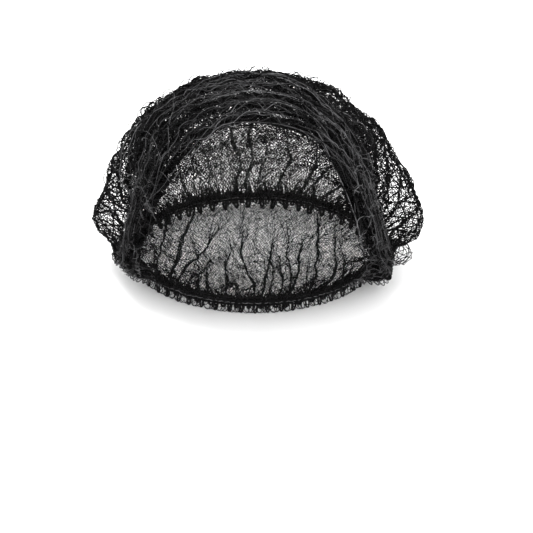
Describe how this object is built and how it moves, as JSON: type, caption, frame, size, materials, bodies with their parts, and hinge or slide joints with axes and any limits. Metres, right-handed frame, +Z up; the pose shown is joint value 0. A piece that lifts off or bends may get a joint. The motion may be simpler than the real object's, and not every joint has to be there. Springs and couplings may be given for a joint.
{
  "type": "hairnet",
  "caption": "Bouffant hairnet of fine black net, pleated over the crown from corner to corner, gathered on an oval elastic rim with a fluted hem, open below for the head.",
  "frame": {"origin": "centre of the bottom of the whole box, on the surface that the hem stands on", "axes": "+Z up from the rim to the crown, front at -Y, the tacked corners at -X and +X"},
  "size_m": [0.275, 0.2052, 0.1752],
  "materials": {
    "net": "fine knitted nylon net, semi-sheer, slightly glossy yarn",
    "elastic": "gathered elastic, ribbed, with a thin grey covering thread"
  },
  "bodies": {
    "root": {"crown_net": "net", "corner_gather_left": "net", "corner_gather_right": "net", "elastic_band": "elastic", "hem_ruffle": "net"}
  },
  "joints": []
}
